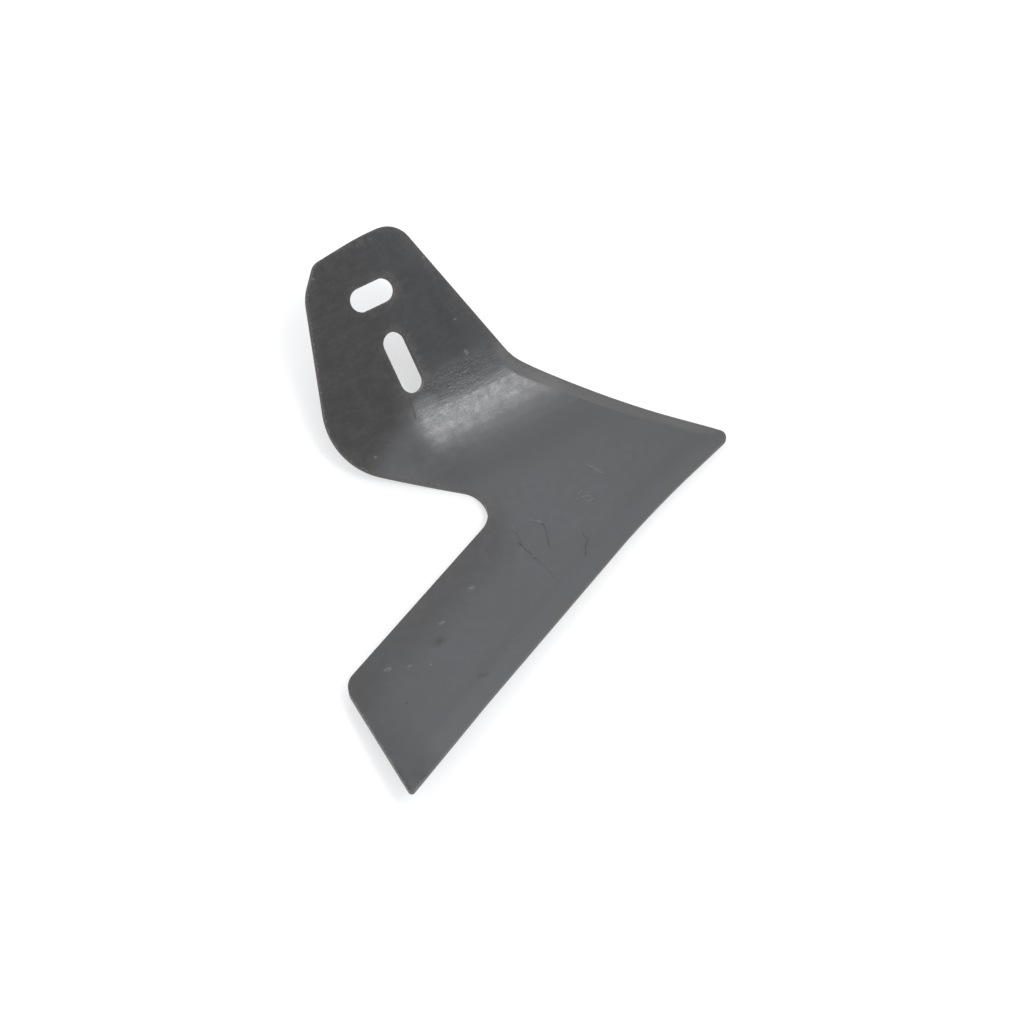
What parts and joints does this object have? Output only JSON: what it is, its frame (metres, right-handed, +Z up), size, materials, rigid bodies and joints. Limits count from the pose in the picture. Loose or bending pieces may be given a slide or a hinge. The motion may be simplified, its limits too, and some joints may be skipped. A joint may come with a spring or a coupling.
{
  "type": "cultivator blade",
  "caption": "Bent steel plate with a slotted tang for two bolts and a swept flat blade to one side, ground along its cutting edge.",
  "frame": {"origin": "on the underside of the flat blade, on the tang's centre line, midway between the blade's back edge and its cutting edge", "axes": "+Z up from the blade's flat underside, +Y back towards the bend and the tang, X along the bend, with the nose on the +X side and the long wing on the -X side"},
  "size_m": [0.2517, 0.2674, 0.0794],
  "materials": {
    "plate_paint": "dark grey satin paint, worn along the edges"
  },
  "bodies": {
    "root": {"tine_plate": "plate_paint"}
  },
  "joints": []
}
